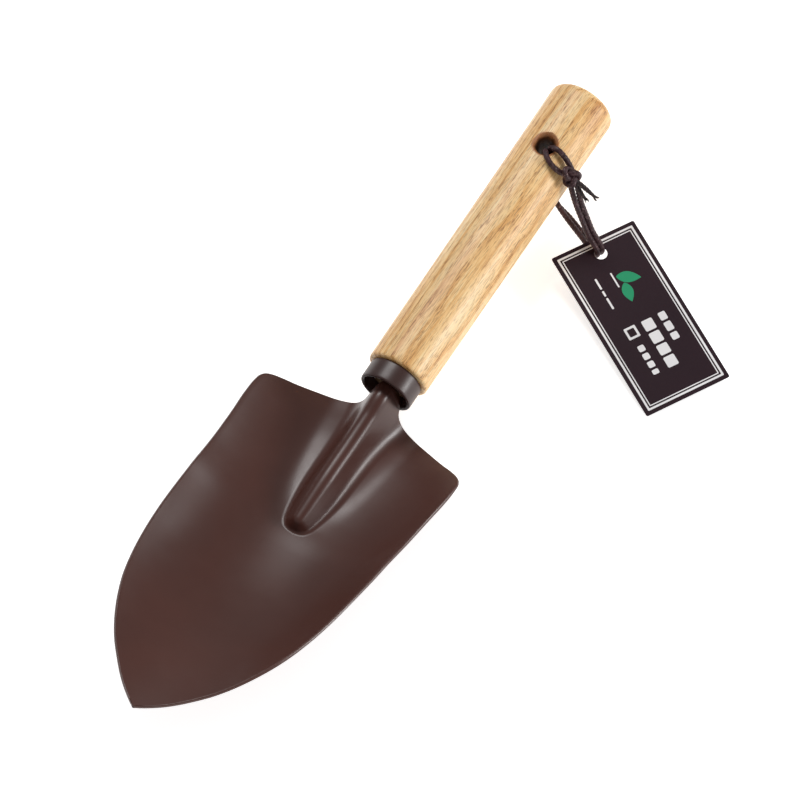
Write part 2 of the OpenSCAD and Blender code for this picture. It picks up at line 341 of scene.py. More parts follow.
# ---- enamel on the blade and the ferrule
def enamel(name, rough, coat, base=(0.071, 0.0220, 0.0150)):
    k = Mat(name)
    obj = k.coords()
    big = k.noise(obj, 26.0, 3.0, 0.55)
    fine = k.noise(obj, 1500.0, 2.0, 0.6)
    peel = k.noise(obj, 420.0, 1.0, 0.4)
    col = k.ramp(big, [(0.30, tuple(c * 0.90 for c in base)), (0.72, tuple(c * 1.12 for c in base))])
    speck = k.remap(fine, 0.72, 0.80, 0.0, 0.5)
    col = k.mix(speck, col, (0.085, 0.062, 0.055))
    k.link(col, k.b.inputs["Base Color"])
    r = k.remap(k.noise(obj, 60.0, 4.0, 0.6), 0.3, 0.7, rough - 0.025, rough + 0.035)
    k.link(r, k.b.inputs["Roughness"])
    k.set(Specular_IOR_Level=0.5, Coat_Weight=coat, Coat_Roughness=0.16, Coat_IOR=1.5)
    h = k.math("ADD", k.math("MULTIPLY", peel, 0.8), k.math("MULTIPLY", fine, 0.25))
    k.link(k.bump(h, 0.22, 0.03), k.b.inputs["Normal"])
    return k.m


mat_blade = enamel("blade_enamel", 0.36, 0.06)
mat_ferrule = enamel("ferrule_enamel", 0.40, 0.05, (0.042, 0.0165, 0.0135))


# ---- varnished open-grained wood
def wood(name):
    k = Mat(name)
    obj = k.coords()
    # along the grain on y, a little askew to the handle
    g = k.mapping(obj, (1000, 1000, 1000), (TILT * -1.0, 0.0, math.radians(1.6)), (3.0, 0.0, -16.0))
    sep = k.node("ShaderNodeSeparateXYZ")
    wob = k.noise(k.mapping(g, (0.020, 0.011, 0.020)), 1.0, 2.0, 0.5)
    wob2 = k.noise(k.mapping(g, (0.11, 0.018, 0.11), loc=(7, 3, 1)), 1.0, 2.0, 0.5)
    k.link(g, sep.inputs[0])
    # growth rings about a pith well outside the handle
    dx = k.math("SUBTRACT", sep.outputs[0], -24.0)
    dz = k.math("SUBTRACT", sep.outputs[2], -31.0)
    rad = k.math("SQRT", k.math("ADD", k.math("MULTIPLY", dx, dx), k.math("MULTIPLY", dz, dz)))
    rad = k.math("ADD", rad, k.math("MULTIPLY", wob, 11.0))
    rad = k.math("ADD", rad, k.math("MULTIPLY", wob2, 2.4))
    ring = k.math("FRACT", k.math("MULTIPLY", rad, 1 / 2.9))
    early = k.math("MULTIPLY", k.remap(ring, 0.0, 0.10, 0.0, 1.0), k.remap(ring, 0.12, 0.62, 1.0, 0.0))
    # fibre streaks, broad and fine
    broad = k.noise(k.mapping(g, (0.22, 0.010, 0.22)), 1.0, 3.0, 0.55)
    fibre = k.noise(k.mapping(g, (1.7, 0.045, 1.7)), 1.0, 3.0, 0.62)
    hair = k.noise(k.mapping(g, (5.2, 0.16, 5.2), loc=(2, 9, 4)), 1.0, 2.0, 0.6)
    # open pores, short dark dashes, mostly in the early wood
    pores = k.noise(k.mapping(g, (3.3, 0.20, 3.3), loc=(11, 5, 8)), 1.0, 1.0, 0.5)
    pores2 = k.noise(k.mapping(g, (4.6, 0.34, 4.6), loc=(1, 15, 3)), 1.0, 1.0, 0.5)
    pm = k.remap(pores, 0.550, 0.650, 0.0, 1.0)
    pm2 = k.remap(pores2, 0.575, 0.675, 0.0, 1.0)
    pmask = k.math("MAXIMUM", pm, k.math("MULTIPLY", pm2, 0.8))
    pmask = k.math("MULTIPLY", pmask, k.remap(early, 0.0, 0.8, 0.60, 1.0))
    tone = k.math("ADD", k.math("MULTIPLY", broad, 0.50), k.math("MULTIPLY", fibre, 0.34))
    tone = k.math("ADD", tone, k.math("MULTIPLY", hair, 0.16))
    tone = k.math("ADD", tone, k.math("MULTIPLY", early, -0.085))
    col = k.ramp(tone, [
        (0.30, srgb(196, 134, 72)),
        (0.40, srgb(228, 174, 108)),
        (0.48, srgb(246, 202, 140)),
        (0.57, srgb(252, 221, 168)),
        (0.70, srgb(254, 232, 190)),
    ])
    col = k.mix(k.math("MULTIPLY", pmask, 0.70), col, srgb(128, 72, 34))
    # the hang hole's chamfer takes the stain redder; the sides inside the bore are painted near-black, painted shade in
    # the hole
    v = k.node("ShaderNodeVectorMath", operation="SUBTRACT")
    k.link(obj, v.inputs[0])
    v.inputs[1].default_value = tuple((MOUTH + AXIS * HANG_AT) * MM)
    sp = k.node("ShaderNodeSeparateXYZ")
    k.link(v.outputs[0], sp.inputs[0])
    ax = k.math("ADD", k.math("MULTIPLY", sp.outputs[1], float(AXIS[1])), k.math("MULTIPLY", sp.outputs[2], float(AXIS[2])))
    rho = k.math("SQRT", k.math("ADD", k.math("MULTIPLY", sp.outputs[0], sp.outputs[0]), k.math("MULTIPLY", ax, ax)))
    rho = k.math("ADD", rho, k.math("MULTIPLY", k.math("SUBTRACT", k.noise(k.mapping(g, (0.8, 0.4, 0.8)), 1.0, 2.0), 0.5), 0.0011))
    ringm = k.remap(rho, 0.00475, 0.0056, 1.0, 0.0)
    # painted shade: the bore's sides darkened towards near-black
    bore_painted_shade = k.remap(rho, 0.0034, 0.0042, 1.0, 0.0)
    col = k.mix(k.math("MULTIPLY", ringm, 0.74), col, srgb(158, 76, 30))
    col = k.mix(k.math("MULTIPLY", bore_painted_shade, 0.85), col, srgb(64, 34, 18))
    # the spigot inside the ferrule is painted dark, painted shade in the ferrule's mouth
    spigot_painted_shade = k.remap(ax, (7.6 - HANG_AT) * MM, (8.1 - HANG_AT) * MM, 1.0, 0.0)
    col = k.mix(k.math("MULTIPLY", spigot_painted_shade, 0.88), col, srgb(78, 46, 26))
    k.link(col, k.b.inputs["Base Color"])
    rough = k.remap(k.math("ADD", fibre, k.math("MULTIPLY", pmask, 0.3)), 0.3, 1.0, 0.40, 0.62)
    k.link(rough, k.b.inputs["Roughness"])
    k.set(Specular_IOR_Level=0.42, Coat_Weight=0.22, Coat_Roughness=0.34, Coat_IOR=1.5)
    h = k.math("SUBTRACT", k.math("ADD", k.math("MULTIPLY", fibre, 0.35), k.math("MULTIPLY", hair, 0.2)), k.math("MULTIPLY", pmask, 0.9))
    k.link(k.bump(h, 0.40, 0.05), k.b.inputs["Normal"])
    return k.m


mat_wood = wood("varnished_wood")


# ---- waxed, tightly laid cord
def waxed_cord(name, dark=1.0):
    k = Mat(name)
    uv = k.coords("UV")
    sp = k.node("ShaderNodeSeparateXYZ")
    k.link(uv, sp.inputs[0])
    a = k.math("MULTIPLY", sp.outputs[0], 2 * math.pi * 6)
    l = k.math("MULTIPLY", sp.outputs[1], 2 * math.pi / 1.05)
    w1 = k.math("SINE", k.math("ADD", a, l))
    w2 = k.math("SINE", k.math("SUBTRACT", a, l))
    braid = k.math("MULTIPLY", k.math("ADD", k.math("MULTIPLY", w1, w2), 1.0), 0.5)
    obj = k.coords()
    fuzz = k.noise(obj, 2600.0, 3.0, 0.65)
    patch = k.noise(obj, 520.0, 2.0, 0.6)
    # light specks: wax bloom, and painted glints standing in for highlights on the strands
    wax_and_painted_glint = k.remap(k.noise(obj, 950.0, 2.0, 0.7), 0.56, 0.72, 0.0, 1.0)
    c0 = tuple(c * dark for c in (0.014, 0.0042, 0.0056))
    c1 = tuple(c * dark for c in (0.052, 0.019, 0.023))
    col = k.mix(k.remap(patch, 0.3, 0.7), c0, c1)
    col = k.mix(k.math("MULTIPLY", braid, 0.45), col, tuple(c * 1.5 for c in c1))
    col = k.mix(k.math("MULTIPLY", wax_and_painted_glint, 0.75 * dark), col, (0.27, 0.17, 0.165))
    k.link(col, k.b.inputs["Base Color"])
    k.link(k.remap(fuzz, 0.3, 0.7, 0.38, 0.6), k.b.inputs["Roughness"])
    k.set(Specular_IOR_Level=0.38, Sheen_Weight=0.0)
    h = k.math("ADD", k.math("MULTIPLY", braid, 1.0), k.math("MULTIPLY", fuzz, 0.5))
    k.link(k.bump(h, 0.55, 0.10), k.b.inputs["Normal"])
    return k.m


mat_cord = waxed_cord("waxed_cord")
mat_tail = waxed_cord("waxed_cord_end", 0.38)


# ---- printed card
def card(name, base, rough, spec):
    k = Mat(name)
    obj = k.coords()
    grain = k.noise(obj, 1700.0, 3.0, 0.6)
    cloud = k.noise(obj, 40.0, 2.0, 0.5)
    col = k.ramp(cloud, [(0.3, tuple(c * 0.88 for c in base)), (0.7, tuple(c * 1.12 for c in base))])
    k.link(col, k.b.inputs["Base Color"])
    k.link(k.remap(grain, 0.3, 0.7, rough - 0.03, rough + 0.05), k.b.inputs["Roughness"])
    k.set(Specular_IOR_Level=spec, Coat_Weight=0.0)
    k.link(k.bump(grain, 0.15, 0.02), k.b.inputs["Normal"])
    return k.m


mat_card = card("dark_card", (0.0170, 0.0034, 0.0088), 0.55, 0.20)
mat_ink = card("white_ink", (0.86, 0.85, 0.86), 0.5, 0.3)
mat_green = card("green_ink", (0.004, 0.30, 0.130), 0.5, 0.3)

# ---------------------------------------------------------------- cords (route as in the CAD, mm)
TURN_A = [[13.50, 117.71, 40.98], [10.70, 118.62, 43.41], [8.10, 118.85, 45.66], [5.50, 119.11, 46.80],
          [3.00, 119.53, 45.84], [2.04, 120.13, 43.20], [2.00, 121.26, 36.08], [2.00, 122.53, 28.18],
          [2.00, 123.65, 21.67], [2.83, 123.67, 18.71], [4.98, 122.36, 17.01], [8.16, 120.14, 15.01],
          [14.01, 118.16, 12.18], [19.67, 116.12, 10.74], [23.90, 114.40, 10.03], [28.22, 112.26, 9.19],
          [30.67, 111.20, 9.96], [31.67, 110.54, 12.29], [30.78, 110.58, 14.62], [28.98, 110.97, 16.38],
          [26.25, 111.44, 19.08], [22.10, 112.77, 24.05], [18.55, 113.55, 29.46], [15.73, 114.25, 34.98],
          [13.90, 115.20, 38.55]]
TURN_B = [[12.60, 116.02, 40.06], [11.00, 114.51, 41.59], [8.80, 113.39, 43.36], [6.00, 113.36, 45.18],
          [3.50, 114.67, 46.04], [1.73, 116.92, 45.22], [0.88, 118.33, 42.99], [1.07, 119.26, 35.84],
          [1.00, 120.56, 27.94], [0.98, 121.63, 21.43], [1.56, 121.76, 18.19], [3.50, 121.97, 15.14],
          [6.58, 121.75, 13.00], [10.16, 121.02, 11.65], [13.91, 120.13, 10.96], [19.37, 118.24, 9.85],
          [23.63, 116.59, 9.10], [28.93, 114.42, 9.04], [31.40, 113.21, 10.10], [32.33, 112.56, 12.54],
          [31.56, 112.58, 14.87], [29.76, 112.96, 16.63], [26.89, 113.46, 19.33], [22.93, 114.74, 24.30],
          [19.56, 115.45, 29.70], [17.05, 116.17, 35.24], [15.20, 116.73, 39.15]]
KNOT_C = np.array([14.22, 114.74, 41.82])
CORD_D = 2.1


def cord_piece(name, route, node, start):
    path, length = spline(route, 0.30)
    v, f, uv = tube_parts(path, CORD_D / 2, lobes=3, depth=0.17, pitch=4.6, segs=20, start=start)
    ob = mesh_object(name, v, f, uv, materials=[mat_cord])
    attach(ob, "tool")
    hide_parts(node)
    return ob, path, length


cord_a, path_a, len_a = cord_piece("cord_loop_a", TURN_A, "cord_turn_a", 0.0)
cord_b, path_b, len_b = cord_piece("cord_loop_b", TURN_B, "cord_turn_b", 1.3)

# ---- the overhand knot and the two cut ends
e_x = unit(np.array([22.00, 115.76, 33.99]) - np.array([8.00, 116.27, 44.53]))  # the way the loop runs through it
e_z = unit(back - np.dot(back, e_x) * e_x)
e_y = np.cross(e_z, e_x)


def knot_path(a, c, turn, sx=1.0, sy=1.0, n=150, off=(0, 0, 0)):
    t = np.linspace(0, 2 * math.pi, n, endpoint=False)
    x = a * (np.sin(t) + 2 * np.sin(2 * t)) / 3
    y = a * (np.cos(t) - 2 * np.cos(2 * t)) / 3
    z = -c * np.sin(3 * t)
    ca, sa = math.cos(turn), math.sin(turn)
    x, y = sx * (ca * x - sa * y), sy * (sa * x + ca * y)
    return (KNOT_C + np.array(off) @ np.array([e_x, e_y, e_z]) + x[:, None] * e_x + y[:, None] * e_y + z[:, None] * e_z)


knot_parts = [
    tube_parts(knot_path(3.0, 1.15, 0.5, 1.14, 0.98), 1.06, closed=True, depth=0.17, pitch=4.6, segs=18),
    tube_parts(knot_path(2.1, 1.0, 1.35, 1.05, 0.95, off=(0.2, 0.1, -0.8)), 1.05, closed=True, depth=0.17, pitch=4.6, segs=18),
]
v, f, uv = joined(knot_parts)
knot = mesh_object("cord_knot_body", v, f, uv, materials=[mat_cord])
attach(knot, "tool")
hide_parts("cord_knot")

rng = np.random.default_rng(7)
TAIL_A = [[15.37, 114.85, 41.20], [19.04, 115.20, 39.48], [22.25, 115.50, 37.66], [24.55, 115.72, 36.28]]
TAIL_B = [[15.06, 114.71, 40.92], [17.59, 114.62, 37.90], [19.98, 114.54, 35.43], [21.59, 114.49, 33.91]]
tail_parts = []
for route, r0 in ((TAIL_A, 0.95), (TAIL_B, 0.95)):
    path, _ = spline(route, 0.25)
    taper = np.interp(np.linspace(0, 1, len(path)), [0, 0.6, 1], [r0, r0 * 0.95, r0 * 0.55])
    tail_parts.append(tube_parts(path, taper, depth=0.22, pitch=4.2, segs=16))
    way = unit(path[-1] - path[-6])
    s0 = unit(np.cross(way, [0.3, 0.2, 1.0]))
    u0 = np.cross(way, s0)
    for q in range(9):  # loosened fibres at the cut end
        ang = 2 * math.pi * (q / 9 + rng.uniform(-0.04, 0.04))
        d = math.cos(ang) * s0 + math.sin(ang) * u0
        reach = rng.uniform(1.2, 2.3)
        spread = rng.uniform(0.25, 0.75)
        a = path[-5] + d * 0.30
        pts = [a, a + way * reach * 0.55 + d * spread * 0.35, a + way * reach * 1.1 + d * spread]
        fp, _ = spline(pts, 0.22)
        rr = np.linspace(0.27, 0.13, len(fp))
        tail_parts.append(tube_parts(fp, rr, lobes=2, depth=0.05, pitch=3.0, segs=7))
v, f, uv = joined(tail_parts)
tails = mesh_object("cord_cut_ends", v, f, uv, materials=[mat_tail])
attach(tails, "tool")


# ---------------------------------------------------------------- blade
def profile(table):
    """Monotone cubic through a profile's stations, as the CAD has it."""
    X, Y = np.array(table, float).T
    h = np.diff(X)
    d = np.diff(Y) / h
    s = np.zeros(len(X))
    s[0], s[-1] = d[0], d[-1]
    for i in range(1, len(X) - 1):
        a, b = d[i - 1], d[i]
        s[i] = 0 if a * b <= 0 else 3 * (h[i - 1] + h[i]) / ((2 * h[i] + h[i - 1]) / a + (h[i] + 2 * h[i - 1]) / b)

    def f(x):
        x = np.clip(np.asarray(x, float), X[0], X[-1])
        i = np.clip(np.searchsorted(X, x, side="right") - 1, 0, len(h) - 1)
        u = (x - X[i]) / h[i]
        return ((1 + 2 * u) * (1 - u) ** 2 * Y[i] + u * (1 - u) ** 2 * h[i] * s[i]
                + u * u * (3 - 2 * u) * Y[i + 1] + u * u * (u - 1) * h[i] * s[i + 1])

    return f


half_w = profile([[-48, 1.4], [-40, 2.4], [-24, 3.1], [-5, 3.4], [-2.5, 5.2], [0, 6.6], [1.8, 7.3], [3.1, 9.2],
                  [4.2, 12.5], [5.7, 17.5], [8.0, 24], [10.8, 31], [12.7, 35.8], [14.4, 39], [16.2, 40.9], [18.6, 41.8],
                  [22.5, 42], [28, 41.8], [36, 41.1], [55, 39.8], [73, 38.8], [91, 37.3], [100, 36.1], [109, 34.4],
                  [118, 32], [126, 28.9], [134, 24.9], [141, 20.4], [147, 15.4], [153.5, 9.2], [158.6, 2.9], [160.4, 0.25]])
floor_z = profile([[0, -16.2], [8, -14.6], [15, -13.0], [22, -11.7], [30, -10.7], [40, -9.6], [50, -8.3], [56, -7.2],
                   [62, -6.0], [70, -4.65], [80, -2.5], [90, 0.2], [100, 3.7], [110, 8.0], [120, 13], [130, 18],
                   [140, 22.5], [150, 26.5], [160.4, 30.3]])
scoop_r = profile([[0, 71], [20, 69], [45, 60], [65, 52], [90, 46.8], [110, 46], [161, 46]])
crest_z = profile([[-48, 0.6], [-30, 2.2], [-5, 3.0], [-1, 4.4], [3, 4.4], [12, 2.6], [25, 1.3],
                   [40, 0.5], [50, -0.6], [60, -1.9]])
crest_r = profile([[-48, 2.2], [-5, 2.4], [0, 3.7], [20, 3.8], [38, 3.7], [50, 3.2], [60, 2.7]])
flank_a = profile([[-48, 70], [-5, 72], [0, 69], [20, 65], [36, 59], [46, 54], [54, 51.5], [60, 51]])
fillet_r = profile([[0, 6.5], [20, 5.2], [40, 4.4], [54, 3.4], [60, 3.0]])
skirt_h = profile([[0, 4.6], [10, 4.1], [20, 3.6], [30, 2.9], [40, 2.0], [50, 0.8], [58, 0], [161, 0]])
skirt_w = profile([[0, 20], [20, 17.5], [40, 15], [58, 12], [161, 12]])
RIB_END = 60.0
CAP_FROM, CAP_SOFT, CAP = 56.5, 5.0, 1.7
SHEET_T = 1.25


def cap_run(s):
    """How far past the rib's straight run a station is, eased in."""
    q = np.maximum(0, s - CAP_FROM)
    return CAP * np.where(q < CAP_SOFT, q * q / (2 * CAP_SOFT), q - CAP_SOFT / 2)


def foot(s):
    e = np.clip(s, 0, RIB_END)
    h, r, a, f = crest_z(e) - floor_z(e) - skirt_h(e), crest_r(e), np.radians(flank_a(e)), fillet_r(e)
    return r * np.sin(a) + np.maximum(0, h - (r + f) * (1 - np.cos(a))) / np.tan(a) + f * np.sin(a)


def face_z(x, s):
    x, s = np.broadcast_arrays(np.asarray(x, float), np.asarray(s, float))
    e = np.clip(s, 0, RIB_END)
    h, r, a, f = crest_z(e) - floor_z(e) - skirt_h(e), crest_r(e), np.radians(flank_a(e)), fillet_r(e)
    d = np.hypot(x, cap_run(s))
    x1, d1 = r * np.sin(a), r * (1 - np.cos(a))
    x2 = x1 + np.maximum(0, h - d1 - f * (1 - np.cos(a))) / np.tan(a)
    x3 = x2 + f * np.sin(a)
    top = h - (r - np.sqrt(np.maximum(0, r * r - d * d)))
    flank = h - d1 - (d - x1) * np.tan(a)
    fill = f - np.sqrt(np.maximum(0, f * f - (x3 - d) ** 2))
    rib = np.where(d <= x1, top, np.where(d <= x2, flank, np.where(d < x3, fill, 0.0)))
    R = scoop_r(np.maximum(0, s))
    arc_rise = R - np.sqrt(np.maximum(0, R * R - x * x))
    u = 1 - (x / skirt_w(s)) ** 2
    scoop = floor_z(s) + arc_rise + rib + skirt_h(np.maximum(0, s)) * np.maximum(0, u) ** 2
    rn, an = crest_r(s), np.radians(flank_a(s))
    ax = np.abs(x)
    xn = rn * np.sin(an)
    drop = np.where(ax <= xn, rn - np.sqrt(np.maximum(0, rn * rn - ax * ax)), rn * (1 - np.cos(an)) + (ax - xn) * np.tan(an))
    R0 = float(scoop_r(0))
    neck = crest_z(s) - drop + np.maximum(0, 1 + s / 5) * (R0 - np.sqrt(np.maximum(0, R0 * R0 - x * x))) - s * math.tan(TILT - PITCH_B)
    return np.where(s <= 0, neck, scoop)


def face_n(x, s):
    zx = (face_z(x + 0.05, s) - face_z(x - 0.05, s)) / 0.1
    zs = (face_z(x, s + 0.05) - face_z(x, s - 0.05)) / 0.1
    return unit(np.stack([-zx, zs, np.ones_like(zx)], -1))


def build_blade():
    rows = np.concatenate([np.arange(-47, -6, 3.0), np.arange(-6, 0, 0.4), np.arange(0, 3, 0.25), np.arange(3, 9, 0.11),
                           np.arange(9, 13, 0.25), np.arange(13, 20, 0.6), np.arange(20, 50, 1.0), np.arange(50, 70, 0.35),
                           np.arange(70, 138, 1.2), np.arange(138, 156, 0.6), np.arange(156, 160.1, 0.25), [160.25, 160.4]])
    rib_n, side_n, rim_n, b = 26, 22, 7, 0.34
    w = half_w(rows)
    dw = (half_w(rows + 0.02) - half_w(rows - 0.02)) / 0.04
    nrm = unit(np.stack([np.ones_like(dw), -dw], -1))
    inset = np.minimum(b, w * 0.45)
    qx, qs = w - inset * nrm[:, 0], rows - inset * nrm[:, 1]
    ft = np.minimum(foot(rows), 0.62 * qx)
    cols = []
    for j in range(-(rib_n + side_n), rib_n + side_n + 1):
        aj = abs(j)
        x = ft * aj / rib_n if aj <= rib_n else ft + (qx - ft) * ((aj - rib_n) / side_n)
        frac = x / np.maximum(qx, 1e-6)
        cols.append((np.sign(j) * x, rows + (qs - rows) * frac ** 8))
    X = np.stack([c[0] for c in cols], 1)
    S = np.stack([c[1] for c in cols], 1)
    N = face_n(X, S)
    top = np.stack([X, -S, face_z(X, S)], -1)
    low = top - SHEET_T * N
    n, m = X.shape

    def rim(side):
        """Ring columns that round the cut edge, from the top face to the low one."""
        j = m - 1 if side > 0 else 0
        t0, n0 = top[:, j], N[:, j]
        # outward along the sheet
        o = np.stack([side * nrm[:, 0], -nrm[:, 1], np.zeros(n)], -1)
        o = unit(o - np.sum(o * n0, -1, keepdims=True) * n0)
        c = t0 - n0 * SHEET_T / 2
        out = []
        for q in range(1, rim_n + 1):
            th = math.pi / 2 - math.pi * q / (rim_n + 1)
            k = 0.62
            a = math.copysign(abs(math.sin(th)) ** k, math.sin(th)) * SHEET_T / 2
            e = abs(math.cos(th)) ** k
            out.append(c + n0 * a + o * (inset * e)[:, None])
        return np.stack(out, 1)

    rim_r, rim_l = rim(1), rim(-1)
    # one closed ring for each row: top left to right, right rim down, low right to left, left rim up
    ring = np.concatenate([top, rim_r, low[:, ::-1], rim_l[:, ::-1]], 1)
    k = ring.shape[1]
    verts = (ring @ NOSE.T + MOUTH).reshape(-1, 3)
    faces = grid_faces(n, k, True)
    # close the two ends with strips between the faces
    for row in (0, n - 1):
        base = row * k
        seq = [base + q for q in range(k)]
        a, z = 0, k - 1
        topi = seq[:m]
        rest = seq[m:]
        lowi = rest[rim_n:rim_n + m][::-1]
        rr, rl = rest[:rim_n], rest[rim_n + m:]
        for q in range(m - 1):
            fq = (topi[q], topi[q + 1], lowi[q + 1], lowi[q])
            faces.append(fq if row == 0 else fq[::-1])
        fr = tuple([topi[-1]] + rr + [lowi[-1]])
        fl = tuple([lowi[0]] + rl + [topi[0]])
        faces.append(fr if row else fr[::-1])
        faces.append(fl if row else fl[::-1])
    ob = mesh_object("blade_shell", verts, faces, materials=[mat_blade])
    fix_normals(ob)
    return ob


blade = build_blade()
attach(blade, "tool")
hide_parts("blade")

# ---------------------------------------------------------------- ferrule
prof = [(9.01, 8.15), (9.01, 6.0), (9.01, 3.0), (9.01, 0.8)]
prof += [(9.06, 0.48), (9.22, 0.18), (9.42, 0.05), (9.8, 0.02), (10.04, 0.08), (10.24, 0.26), (10.36, 0.52), (10.40, 0.9)]
prof += [(10.40, 2.5), (10.40, 5.0), (10.40, 7.4), (10.36, 7.85), (10.22, 8.1), (10.0, 8.18)]
ferrule = lathe("ferrule_ring", prof, 160, [mat_ferrule], 60)
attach(ferrule, "tool")
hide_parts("ferrule")


# ---------------------------------------------------------------- handle
def build_handle():
    p = [(0.0, 48.9), (2.5, 48.9), (4.66, 48.6)]
    p += [(4.68, z) for z in np.linspace(46, 8, 12)] + [(4.68, 5.3), (4.82, 4.98), (5.1, 4.85)]
    p += [(6.0, 4.82), (8.0, 4.82), (8.65, 4.86), (8.9, 5.0), (8.98, 5.3), (8.98, 6.4), (8.98, 8.22)]
    p += [(9.9, 8.25), (10.6, 8.26), (11.15, 8.3), (11.5, 8.42), (11.8, 8.66), (12.0, 9.0), (12.1, 9.5)]
    for z in list(np.arange(12, 100, 3.0)) + list(np.arange(100, 124, 0.9)) + list(np.arange(124.5, 136.5, 2.2)):
        r = np.interp(z, [9, 60, 115, 136.9], [12.1, 12.35, 12.62, 12.8])
        p.append((float(r), float(z)))
    p += arc(9.2, 136.9, 3.6, 0, 84, 15)
    p += [(8.4, 140.62), (6.9, 140.86), (5.0, 141.0), (2.6, 141.15), (0.0, 141.2)]
    body = lathe("handle_grip", p, 144, [mat_wood], 40)
    # the hole: waisted cutter, its chamfers eased
    centre = MOUTH + AXIS * HANG_AT
    hs = [-15.0, -13.3, -12.75, -12.3, -11.8, -11.2, -10.5, -9.6, -8.0, -4.0]
    rs = [7.6, 5.95, 5.35, 4.85, 4.42, 4.05, 3.75, 3.56, 3.5, 3.5]
    prof2 = list(zip(hs, rs)) + [(0.0, 3.5)] + [(-h, r) for h, r in reversed(list(zip(hs, rs)))]
    segs = 72
    ang = np.linspace(0, 2 * math.pi, segs, endpoint=False)
    v = []
    for h, r in prof2:
        v += [centre + UPA * h + r * math.cos(a) * np.array([1.0, 0, 0]) + r * math.sin(a) * AXIS for a in ang]
    n = len(prof2)
    f = grid_faces(n, segs, True) + [tuple(range(segs)), tuple((n - 1) * segs + j for j in range(segs))]
    cut = mesh_object("hole_cutter", np.array(v), f, materials=[mat_wood])
    fix_normals(cut)
    mod = body.modifiers.new("hole", "BOOLEAN")
    mod.operation = "DIFFERENCE"
    mod.solver = "EXACT"
    mod.object = cut
    dg = bpy.context.evaluated_depsgraph_get()
    me = bpy.data.meshes.new_from_object(body.evaluated_get(dg))
    body.modifiers.clear()
    body.data = me
    bpy.data.objects.remove(cut)
    me.shade_smooth()
    me.set_sharp_from_angle(angle=math.radians(38))
    return body


handle = build_handle()
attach(handle, "tool")
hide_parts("handle")

# ---------------------------------------------------------------- tag
TAG_C = np.array([32.52, 111.41, 12.10])
TURN, PITCH = math.radians(-29.85), math.radians(4.0)
RZ = np.array([[math.cos(TURN), -math.sin(TURN), 0], [math.sin(TURN), math.cos(TURN), 0], [0, 0, 1]])
RY = np.array([[math.cos(PITCH), 0, math.sin(PITCH)], [0, 1, 0], [-math.sin(PITCH), 0, math.cos(PITCH)]])
TAG_M = NOSE @ RZ @ RY
TAG_T = 0.45


def tag_pt(p):
    return TAG_C + np.asarray(p, float) @ TAG_M.T


def rounded_rect(x0, x1, y0, y1, r, n=6):
    pts = []
    for cx, cy, a0 in ((x1 - r, y1 - r, 0), (x0 + r, y1 - r, 90), (x0 + r, y0 + r, 180), (x1 - r, y0 + r, 270)):
        pts += arc(cx, cy, r, a0, a0 + 90, n)
    return np.array(pts)


def resample(loop, n, start_ang):
    """The closed loop as given, rolled to start at the point nearest an angle about its middle; n is not used."""
    c = loop.mean(0)
    k = np.argmin(np.abs(np.angle(np.exp(1j * (np.arctan2(loop[:, 1] - c[1], loop[:, 0] - c[0]) - start_ang)))))
    return np.roll(loop, -k, 0)


def build_card():
    """A card with eased edges and a punched hole, closed."""
    outer = rounded_rect(-6.4, 65.6, -17.5, 17.5, 0.7, 5)
    hole_n = 64
    a = np.linspace(0, 2 * math.pi, hole_n, endpoint=False)
    hole = 2.5 * np.stack([np.cos(a), np.sin(a)], 1)
    bm = bmesh.new()

    def ring(pts, z):
        return [bm.verts.new(p) for p in tag_pt(np.column_stack([pts, np.full(len(pts), z)]))]

    def inset(pts, d, c=None):
        # outline pulled in by d, along its own normals
        t = unit(np.roll(pts, -1, 0) - np.roll(pts, 1, 0))
        return pts + d * np.column_stack([-t[:, 1], t[:, 0]])

    h, e = TAG_T / 2, 0.07
    o = [ring(inset(outer, e), h), ring(outer, h - e), ring(outer, -h + e), ring(inset(outer, e), -h)]
    i = [ring(inset(hole, -e), h), ring(hole, h - e), ring(hole, -h + e), ring(inset(hole, -e), -h)]
    for rings in (o, i):
        for a_, b_ in zip(rings, rings[1:]):
            k = len(a_)
            for q in range(k):
                bm.faces.new((a_[q], a_[(q + 1) % k], b_[(q + 1) % k], b_[q]))
    for lvl in (0, 3):
        edges = [bm.edges.get((x[q], x[(q + 1) % len(x)])) for x in (o[lvl], i[lvl]) for q in range(len(x))]
        bmesh.ops.triangle_fill(bm, use_beauty=True, use_dissolve=False, edges=edges)
    bmesh.ops.recalc_face_normals(bm, faces=bm.faces)
    me = bpy.data.meshes.new("tag_board")
    bm.to_mesh(me)
    bm.free()
    me.transform(Matrix.Diagonal((MM, MM, MM, 1)))
    me.shade_smooth()
    me.set_sharp_from_angle(angle=math.radians(30))
    me.materials.append(mat_card)
    ob = bpy.data.objects.new("tag_board", me)
    scene.collection.objects.link(ob)
    return ob


tag = build_card()
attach(tag, "tag")
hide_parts("tag_card")


